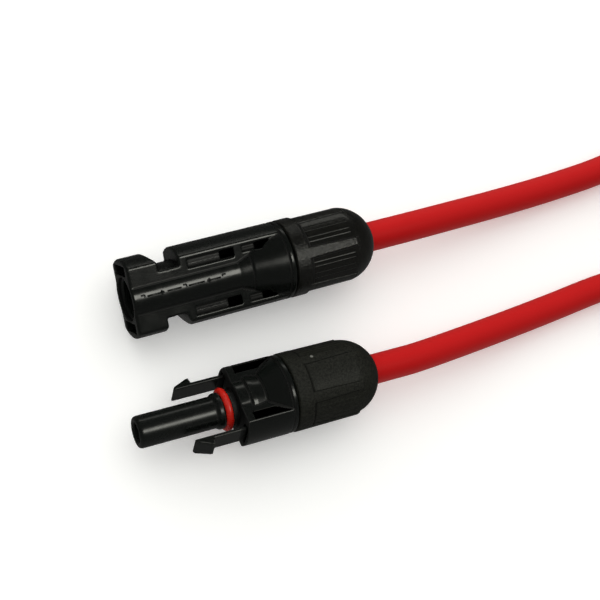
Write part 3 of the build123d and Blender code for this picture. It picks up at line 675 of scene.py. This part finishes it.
def male_housing(u, v, w):
    """Coupler: arched roofs over two flats, slotted head, notches, side pockets and bore."""
    rho, side, height = np.hypot(v, w), np.abs(v), np.abs(w)
    roof = smooth_max(rho - ROOF_R, height - FLAT_HALF, 0.25)
    roof = smooth_max(roof, slab_between(u, 0.0, MALE_SEAM - 1.2), 0.6)
    notch = smooth_max(slab_between(u, HEAD_END, NOTCH_END), SLOT_IN - side, 0.4)
    roof = carve(roof, notch, 0.45)
    sloped = smooth_max((8.95 - 1.04 * (u - 5.3) - v) / 1.44, u - 9.0, 0.1)
    bevel = smooth_max((u - 11.2 + 0.5 * (v + SLOT_IN)) / 1.12, v + SLOT_IN, 0.3)
    bevel = smooth_max(bevel, 9.0 - u, 0.1)
    roof = carve(carve(roof, sloped, 0.3), bevel, 0.3)
    core = rho - core_radius(u, MALE_CORE, MALE_SEAM)
    core = smooth_max(core, slab_between(u, 0.0, MALE_SEAM), 0.4)
    body = smooth_min(smooth_min(roof, core, 0.1), neck(u, v, w, MALE_SEAM), 0.15)
    ripple = RIPPLE_DEPTH * np.cos(2 * math.pi * (side - POCKET_V[0]) / RIPPLE_STEP)
    floor = POCKET_FLOOR + ripple
    shallow = smooth_max(slab_between(u, *POCKET_U), slab_between(side, *POCKET_V), 0.2)
    body = carve(body, smooth_max(shallow, floor - height, 0.25), 0.2)
    trim = slanted_window(u, v, w, 27.0, (31.2, 33.4), (4.75, 6.5), FLAT_HALF)
    body = carve(body, trim, 0.1)
    window = slanted_window(u, v, w, WINDOW_START, WINDOW_REAR, WINDOW_V, floor)
    body = carve(carve(body, window, 0.12), male_recess(u, v, w), 0.15)
    slot = smooth_max(slab_between(side, SLOT_IN, SLOT_OUT), height - SLOT_HALF, 0.3)
    body = carve(body, smooth_max(slot, u - 8.0, 0.3), 0.3)
    mouth = BORE_R + (MOUTH_R - BORE_R) * (1.0 - rise(u, 0.5, 1.3))
    bore = smooth_max(rho - mouth, u - MALE_WALL, 0.3)
    pin_hole = smooth_max(rho - 2.6, u - 26.0, 0.2)
    body = carve(body, smooth_min(bore, pin_hole, 0.2), 0.3)
    return carve(body, inner_chambers(u, rho, WALL_END, MALE_SEAM), 0.25)


def female_housing(u, v, w):
    """Plug: probe with its ring groove, arched body with latch pockets and side pockets."""
    rho, side, height = np.hypot(v, w), np.abs(v), np.abs(w)
    roof = smooth_max(rho - ROOF_R, height - FLAT_HALF, 0.25)
    roof = smooth_max(roof, slab_between(u, BODY_FRONT, FEMALE_SEAM - 1.2), 0.25)
    core = rho - core_radius(u, FEMALE_CORE, FEMALE_SEAM)
    core = smooth_max(core, slab_between(u, BODY_FRONT, FEMALE_SEAM), 0.4)
    swell = (ROOT_R - PROBE_R) * rise(u, ROOT_START, ROOT_START + 1.0)
    base = PROBE_R + swell - 0.12 * (1.0 - rise(u, 0.0, 1.0))
    groove = (ROOT_R - GROOVE_R) * rise(u, 19.2, 19.4) * (1.0 - rise(u, 21.0, 21.2))
    probe = smooth_max(rho - base + groove, slab_between(u, 0.0, BODY_FRONT + 1.0), 0.6)
    line = smooth_max(np.hypot(v + 3.0, w - 1.73) - 0.2, slab_between(u, 10.4, 17.8), 0.1)
    probe = smooth_min(probe, line, 0.12)
    body = smooth_min(smooth_min(roof, core, 0.1), neck(u, v, w, FEMALE_SEAM), 0.15)
    body = smooth_min(body, probe, 0.3)
    pocket = smooth_max(slab_between(side, *LATCH_V), height - LATCH_HALF, 0.3)
    body = carve(body, smooth_max(pocket, slab_between(u, *LATCH_U), 0.3), 0.35)
    pivot = smooth_max(np.hypot(u - PIVOT_U, side - PIVOT_V) - 0.65, height - 3.45, 0.1)
    body = carve(body, pivot, 0.1)
    body = carve(body, female_recess(u, v, w), 0.1)
    entry = smooth_max(rho - 2.22 - 0.25 * (1.0 - rise(u, 0.0, 0.5)), u - 3.0, 0.2)
    sleeve = smooth_max(rho - 2.95, slab_between(u, 1.6, 25.0), 0.2)
    body = carve(body, smooth_min(entry, sleeve, 0.1), 0.3)
    return carve(body, inner_chambers(u, rho, PROBE_LEN + 2.0, FEMALE_SEAM), 0.25)


def latch_arm(u, v, w):
    """Latch strip on the +v side: a barb with a steep back, and a round knuckle at its root."""
    height = np.abs(w)
    ramp = np.interp(u, *ARM_BACK)
    strip = smooth_max(v - ramp, ARM_INSIDE - v, 0.25)
    strip = smooth_max(strip, slab_between(u, ARM_TIP, PIVOT_U), 0.3)
    width = ARM_HALF - 0.2 * np.clip(v - 7.3, 0.0, 1.0)
    strip = smooth_max(strip, height - width, 0.35)
    hub = np.hypot(u - PIVOT_U, v - PIVOT_V)
    knuckle = smooth_max(hub - 0.8, height - ARM_HALF, 0.15)
    stubs = smooth_max(hub - 0.55, height - 3.3, 0.1)
    return smooth_min(smooth_min(strip, knuckle, 0.2), stubs, 0.1)


def male_grain(points):
    """Grain of the coupler: eroded roofs and head, flats smoothed by wear; polished core, cone and
    bore.
    """
    u, v, w = points.T
    rho = np.hypot(v, w)
    flat = rise(np.abs(w), 5.08, 5.18) * (0.3 + 0.3 * rise(u, 12.0, 13.5))
    core = rise(BULGE_R + 0.25 - rho, 0.0, 0.2) * rise(np.abs(w), 5.15, 5.3)
    cone = rise(u, 25.0, 25.4) * rise(7.9 + 0.2 * (u - 28) - rho, 0.0, 0.3)
    inside = rise(4.95 - rho, 0.0, 0.2)
    return 1.0 - np.maximum(np.clip(core + 0.6 * cone + inside, 0.0, 1.0) * 0.85, flat)


def female_grain(points):
    """Grain of the plug: polished core, satin probe, fairly polished body, dull front face."""
    u, v, w = points.T
    rho = np.hypot(v, w)
    core = rise(8.0 - rho, 0.0, 0.4) * rise(u, 19.0, 19.3)
    probe = rise(19.3 - u, 0.0, 0.3) * rise(5.0 - rho, 0.0, 0.3)
    front = rise(u, 21.1, 21.4) * rise(BODY_FRONT + 0.3 - u, 0.0, 0.2)
    return 0.12 - 0.05 * core + 0.08 * probe + front


# ---------------------------------------------------------------- cap nuts


RIBS = (-13.8, -6.9, 3.9, 12.6)  # degrees from the middle of a panel
RIB_SIDES = np.array([1, 0, -1, 1, 0, -1])  # which way round the ribs are; 0 is a plain panel


def land_half(s):
    """Half the angle a land covers, in degrees: it narrows from the collar to the dome."""
    return np.interp(s, [3.25, 16.2], [7.8, 5.2])


def nut_angles(first_land):
    """Angles of a nut's columns in degrees, close together at the lands' edges and the ribs."""
    edge = np.arange(4.4, 10.3, 0.45)
    rib = np.add.outer(RIBS, (-1.1, -0.75, -0.25, 0.25, 0.75, 1.1)).ravel()
    sector = np.concatenate([[0.0, 2.2], edge, 30.0 + rib, 30.0 - rib, 60.0 - edge, [57.8]])
    return first_land + np.add.outer(60.0 * np.arange(6), np.sort(sector)).ravel()


def nut_radius(s, angle, first_land, side):
    """Outer radius of a nut and its edge value, wear with painted glint and shade, s from the seam.

    A collar, six lands at 60 degree steps and the flatter panels between them, then a dome.
    Four panels carry four thin ribs each, and an opposite pair is plain. The ribs and the lands'
    edges are dulled and lightened, partly as wear from rubbing and partly as a painted glint; the
    feet of the lands and of the collar are creases, darkened with painted shade.
    """
    dome = DOME_R * np.sqrt(np.clip(1.0 - ((s - DOME_START) / DOME_LEN) ** 2, 0.0, 1.0))
    turn = (angle - first_land) % 360.0
    off_panel = turn % 60.0 - 30.0
    off_land = (turn + 30.0) % 60.0 - 30.0
    ground = PANEL_R + PANEL_BULGE * np.minimum((off_panel / 23.5) ** 2, 1.0)
    rounding = rise(s, DOME_START, DOME_START + 1.6)
    ground = np.where(s < DOME_START, ground, ground + (dome - ground) * rounding)
    half = land_half(s)
    land = 1.0 - rise(np.abs(off_land), half - 0.5, half + 0.5)
    collar = 1.0 - rise(s, COLLAR_END, COLLAR_END + 0.2)
    raised = np.maximum(collar, land * (1.0 - rise(s, 15.6, 16.3)))
    way = side * RIB_SIDES[np.floor(turn / 60.0).astype(int)]
    off_rib = np.min([np.abs(off_panel - way * rib) for rib in RIBS], axis=0)
    ridge = np.clip(1.5 * (1.0 - off_rib / 0.75), 0.0, 1.0) * np.abs(way)
    ridge = ridge * rise(s, 4.1, 4.5) * (1.0 - rise(s, 14.6, 15.2))
    panel = ground + 0.06 * ridge
    beside = np.abs(off_land) - half
    land_foot = rise(beside, 0.1, 0.6) * (1.0 - rise(beside, 0.9, 2.2))
    collar_foot = (1.0 - rise(s, 3.95, 4.4)) * (1.0 - land)
    foot_shade = np.maximum(land_foot, collar_foot) * rise(s, 3.7, 3.85) * (1.0 - rise(s, 14.8, 15.6))
    # Above zero: lighter and duller, partly wear and partly painted glint; below zero: painted
    # shade.
    wear_glint_and_crease_shade = 0.25 * ridge + 1.6 * raised * (1.0 - raised) - 1.4 * foot_shade
    return panel + (NUT_R - panel) * raised, wear_glint_and_crease_shade


def cap_nut(name, place, seam, first_land, side, body, material):
    """Nut as one closed grid of rings: over the outside from the seam, back through the bore."""
    dome_end = DOME_START + DOME_LEN * math.sqrt(1.0 - (4.35 / DOME_R) ** 2)
    front = [0.22, 0.26, 0.32, 0.42, 0.6, 1.2, 2.0, 2.8, 3.3, 3.55]
    edge = np.linspace(3.6, 3.86, 7)
    middle = np.linspace(4.1, DOME_START, 27)
    shoulder = np.linspace(14.75, 16.4, 16)
    dome = 16.4 + (dome_end - 16.4) * np.sin(np.linspace(0.06, 1.0, 24) * math.pi / 2)
    s = np.concatenate([front, edge, middle, shoulder, dome])
    angle = nut_angles(first_land)
    ring_s, ring_a = np.meshgrid(s, angle, indexing="ij")
    radius, wear_glint_and_crease_shade = nut_radius(ring_s, ring_a, first_land, side)
    radius = radius - 0.3 * (1.0 - rise(ring_s, 0.2, 0.6)) ** 2
    bore = [(dome_end + 0.12, 4.15), (dome_end + 0.08, 4.0), (dome_end - 0.1, 3.95),
            (19.6, 3.95), (19.6, 4.45), (11.7, 6.9), (11.3, 7.1), (0.4, 7.1), (0.24, 7.2),
            (0.22, 7.4), (0.22, 8.4)]
    inner_s, inner_r = np.array(bore).T
    ring_s = np.vstack([ring_s, np.repeat(inner_s[:, None], len(angle), axis=1)])
    radius = np.vstack([radius, np.repeat(inner_r[:, None], len(angle), axis=1)])
    turn = np.radians(np.broadcast_to(angle, radius.shape))
    points = np.stack([ring_s + seam, radius * np.sin(turn), radius * np.cos(turn)], axis=-1)
    rows = len(points)
    faces = grid_faces(rows + 1, len(angle), True) % (rows * len(angle))
    flat = points.reshape(-1, 3)
    low = rise(8.9 - radius, 0.0, 0.2) * (ring_s < 15.9)
    grain = 1.0 - 0.45 * low - 0.35 * rise(ring_s, 16.0, 17.5)  # smoother panels and dome
    wear_glint_and_crease_shade = np.vstack([wear_glint_and_crease_shade, np.zeros((len(bore), len(angle)))])
    return mesh_piece(name, to_row(flat, place), faces[:, ::-1], material, body, [name],
                      {"grain": grain.reshape(-1), "wear_glint_and_crease_shade": wear_glint_and_crease_shade.reshape(-1)})


# ---------------------------------------------------------------- ring seal, straps, cable


def ring_seal(material):
    """Torus in the probe's groove: a small circle carried round the axis."""
    around, about = np.meshgrid(np.linspace(0, 2 * math.pi, 160, endpoint=False),
                                np.linspace(0, 2 * math.pi, 32, endpoint=False), indexing="ij")
    radius = RING_R + RING_SECTION * np.cos(about)
    points = np.stack([RING_U - RING_SECTION * np.sin(about), radius * np.cos(around),
                       radius * np.sin(around)], axis=-1).reshape(-1, 3)
    faces = grid_faces(161, 32, True) % len(points)
    return mesh_piece("probe_ring_seal", to_row(points, FEMALE), faces, material, "root",
                      ["probe_ring_seal"])


def raised_strokes(strokes, radius, angle):
    """Moulded lines on a round face: long ridges whose sides slope up to a narrow top.

    A stroke runs from (u, t) to (u, t), t being the arc length from the given angle.
    """
    strokes = np.array(strokes, float)
    start, end = strokes[:, :2], strokes[:, 2:]
    ahead = (end - start) / np.linalg.norm(end - start, axis=1)[:, None]
    beside = np.stack([-ahead[:, 1], ahead[:, 0]], axis=1)
    rings = []
    for wide, extra in ((0.28, 0.12), (0.04, -0.1)):
        back, front = start - extra * ahead, end + extra * ahead
        rings += [back - wide * beside, front - wide * beside,
                  front + wide * beside, back + wide * beside]
    flat = np.stack(rings, axis=1)
    high = radius + np.repeat([-0.06, 0.12], 4)
    turn = math.radians(angle) + flat[..., 1] / radius
    points = np.stack([flat[..., 0], high * np.sin(turn), high * np.cos(turn)], axis=-1)
    box = np.array([(3, 2, 1, 0), (4, 5, 6, 7), (0, 1, 5, 4),
                    (1, 2, 6, 5), (2, 3, 7, 6), (3, 0, 4, 7)])
    faces = box + 8 * np.arange(len(strokes))[:, None, None]
    return points.reshape(-1, 3), faces.reshape(-1, 4)


def moulded(name, field, low, high, step, place, material, body, grain, shaded_recess=None,
            marks=None):
    """A moulded piece from its field, in its finish, with painted shade in recesses, and raised
    marks.
    """
    points, faces = surface_of(field, low, high, step)
    attributes = {"grain": grain(points), "wear_glint_and_crease_shade": edge_wear_glint_and_shade(field, points)}
    if shaded_recess is not None:
        # Painted shade: near-black on points within about 0.12 mm of the recess field.
        attributes["deep"] = rise(0.12 - shaded_recess(*points.T), 0.0, 0.06)
    if marks is not None:
        extra, quads = marks
        faces = np.vstack([faces, quads + len(points)])
        points = np.vstack([points, extra])
        attributes = {key: np.append(value, np.full(len(extra), 0.5 if key == "grain" else 0.0))
                      for key, value in attributes.items()}
    return mesh_piece(name, to_row(points, place), faces, material, body, [name], attributes)


def coil_section(gone):
    """Radius and height of the coil's control points after some turns.

    The radius shrinks by a diameter a turn on the lower layer and grows again on the upper one,
    as a smoothed absolute value of the turns gone; the cable climbs near its smallest turn.
    """
    inmost = COIL_TURNS / 2
    radius = 30.8 + 7.3 * (np.sqrt((gone - inmost) ** 2 + 0.02) - 0.14)
    height = LAYER_LOW + (LAYER_HIGH - LAYER_LOW) * rise(gone, inmost - 0.3, inmost + 0.1)
    return radius, height


def coil_turns():
    """Control points of the coil, sixteen to a turn, clockwise from above."""
    gone = np.arange(1, round(16 * COIL_TURNS)) / 16
    radius, height = coil_section(gone)
    angle = np.radians(COIL_START - 360.0 * gone)
    x = COIL_CENTRE[0] + radius * np.cos(angle)
    y = COIL_CENTRE[1] + radius * np.sin(angle)
    return np.stack([x, y, height], axis=1)


def cable(material):
    """The cable: one open spline from the male gland through the coil to the female gland."""
    route = np.vstack([MALE_ROUTE, coil_turns(), FEMALE_ROUTE[::-1]]) * MM
    curve = bpy.data.curves.new("cable", "CURVE")
    curve.dimensions = "3D"
    spline = curve.splines.new("NURBS")
    spline.points.add(len(route) - 1)
    spline.points.foreach_set("co", np.hstack([route, np.ones((len(route), 1))]).ravel())
    spline.order_u = 3
    spline.use_endpoint_u = True
    spline.resolution_u = 8
    curve.bevel_depth = CABLE_R * MM
    curve.bevel_resolution = 10
    curve.use_fill_caps = True
    curve.materials.append(material)
    piece = link(bpy.data.objects.new("cable", curve))
    piece.visible_glossy = False
    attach(piece, "root")
    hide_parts("cable_run_male", "cable_run_female", "cable_coil")
    return piece


def coil_strap(name, angle, material):
    """One strap round the bundle, 5 mm wide and 0.8 mm thick, with its own weave map.

    It is pulled tight over the four strands it holds: towards each direction t of the bundle's
    section it lies on the strand that reaches furthest. The strands run 1.4 % inside their
    control points. Its section is a flat ribbon with rounded edges, and the map counts
    millimetres round the loop and across the ribbon.
    """
    radius, height = coil_section((COIL_START - angle) / 360.0 % 1.0 + np.arange(4))
    radius = 0.986 * radius
    ribbon = np.array([(2.2, 0.0), (2.5, 0.15), (2.5, 0.6), (2.25, 0.8), (-2.25, 0.8),
                       (-2.5, 0.6), (-2.5, 0.15), (-2.2, 0.0)])
    steps = 128
    t = np.linspace(0.0, 2 * math.pi, steps, endpoint=False)
    far = np.argmax(np.outer(radius, np.cos(t)) + np.outer(height, np.sin(t)), axis=0)
    shift, lift = ribbon[:, 0, None], ribbon[:, 1, None]
    out = radius[far] + (CABLE_R + lift) * np.cos(t)
    up = height[far] + (CABLE_R + lift) * np.sin(t)
    a = math.radians(angle)
    x = COIL_CENTRE[0] + out * math.cos(a) - shift * math.sin(a)
    y = COIL_CENTRE[1] + out * math.sin(a) + shift * math.cos(a)
    points = np.stack([x, y, up], axis=-1).reshape(-1, 3) * MM
    rows = len(ribbon)
    faces = grid_faces(rows + 1, steps, True) % (rows * steps)
    row, column = np.divmod(np.arange(len(faces)), steps)
    stride = np.hypot(np.diff(out[0], append=out[0, 0]), np.diff(up[0], append=up[0, 0]))
    along = np.append(0.0, np.cumsum(stride))
    corner_u = along[column[:, None] + np.array([0, 1, 1, 0])]
    across = np.append(ribbon[:, 0], ribbon[0, 0])
    corner_v = across[row[:, None] + np.array([0, 0, 1, 1])]
    piece = mesh_piece(name, points, faces, material, "root", ["cable_ties"])
    layer = piece.data.uv_layers.new(name="weave")
    layer.data.foreach_set("uv", np.stack([corner_u, corner_v], axis=-1).astype(np.float32).ravel())
    return piece


# ---------------------------------------------------------------- the whole lead


def finish_packed_nodes():
    """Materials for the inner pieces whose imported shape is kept, the same at both ends."""
    tin = turned_metal("bright_tin_plate", "c9c9c4", "a9a8a2", 0.18, 0.34, 0.25)
    spring = turned_metal("stainless_spring_strip", "b9b9bb", "9b9b9e", 0.22, 0.4, 0.4)
    nylon = moulded_nylon("black_nylon_cage", "151617", "1f2022", 0.4, 0.6, 0.3, 0.01)
    grey = silicone_rubber("grey_silicone", "6c6e70", "7a7c7e")
    finishes = {
        "male_pin_contact": tin,
        "female_socket_contact": tin,
        "socket_spring": spring,
        "male_retaining_clip": spring,
        "male_conductor": stranded_copper(),
        "male_core_insulation": natural_polyolefin(),
        "male_wire_seal": grey,
        "male_clamp_cage": nylon,
    }
    twins = {"fe" + name: material for name, material in finishes.items()
             if name.startswith("male_")}
    for name, material in (finishes | twins).items():
        node = frame["nodes"].get(name)
        if node:
            node.data.materials.clear()
            node.data.materials.append(material)


make_camera()
make_stage()

sheath = extruded_sheath()
lead = cable(sheath)
straps = [coil_strap("strap_front", -45.0, woven_strap()),
          coil_strap("strap_back", 45.0, bpy.data.materials["woven_polyester_strap"])]

housing_nylon = moulded_nylon("black_housing_nylon", "090c0a", "0f1210", 0.17, 0.26, 0.28, 0.04)
plug_nylon = moulded_nylon("black_plug_nylon", "0c0f0d", "101311", 0.17, 0.6, 0.4, 0.06)
male_nut_nylon = moulded_nylon("black_nut_nylon", "0c0c0a", "161612", 0.19, 0.23, 0.42, 0.16)
gate_turn = math.radians(16.6)
gate_spot = to_row(np.array([40.95, 9.0 * math.sin(gate_turn), 9.0 * math.cos(gate_turn)]), FEMALE)
female_nut_nylon = moulded_nylon("matt_black_nut_nylon", "161712", "272822", 0.44, 0.54, 0.4, 0.22,
                                 0.17, gate_spot)
red_silicone = silicone_rubber("red_silicone", "b0160d", "be2217")

moulded("male_housing", male_housing, (0, -9.1, -9.1), (47.4, 9.1, 9.1), 0.245, MALE,
        housing_nylon, "root", male_grain, male_recess,
        raised_strokes(MARKS, BULGE_R, 7.5))
moulded("female_housing", female_housing, (0, -9.1, -9.1), (44.7, 9.1, 9.1), 0.22, FEMALE,
        plug_nylon, "root", female_grain, female_recess)
UPPER = FEMALE
LOWER = (FEMALE[0] * np.array([[1], [-1], [-1]]), FEMALE[1])
for arm, place, body in (("latch_arm_upper", UPPER, "latch_upper"),
                         ("latch_arm_lower", LOWER, "latch_lower")):
    moulded(arm, latch_arm, (10.7, 6.0, -3.4), (28.3, 8.4, 3.4), 0.12, place,
            plug_nylon, body, female_grain)
cap_nut("male_cap_nut", MALE, MALE_SEAM, 10.8, 1, "male_nut", male_nut_nylon)
cap_nut("female_cap_nut", FEMALE, FEMALE_SEAM, -105.5, -1, "female_nut", female_nut_nylon)
ring_seal(red_silicone).visible_glossy = False
finish_packed_nodes()

bpy.context.view_layer.update()
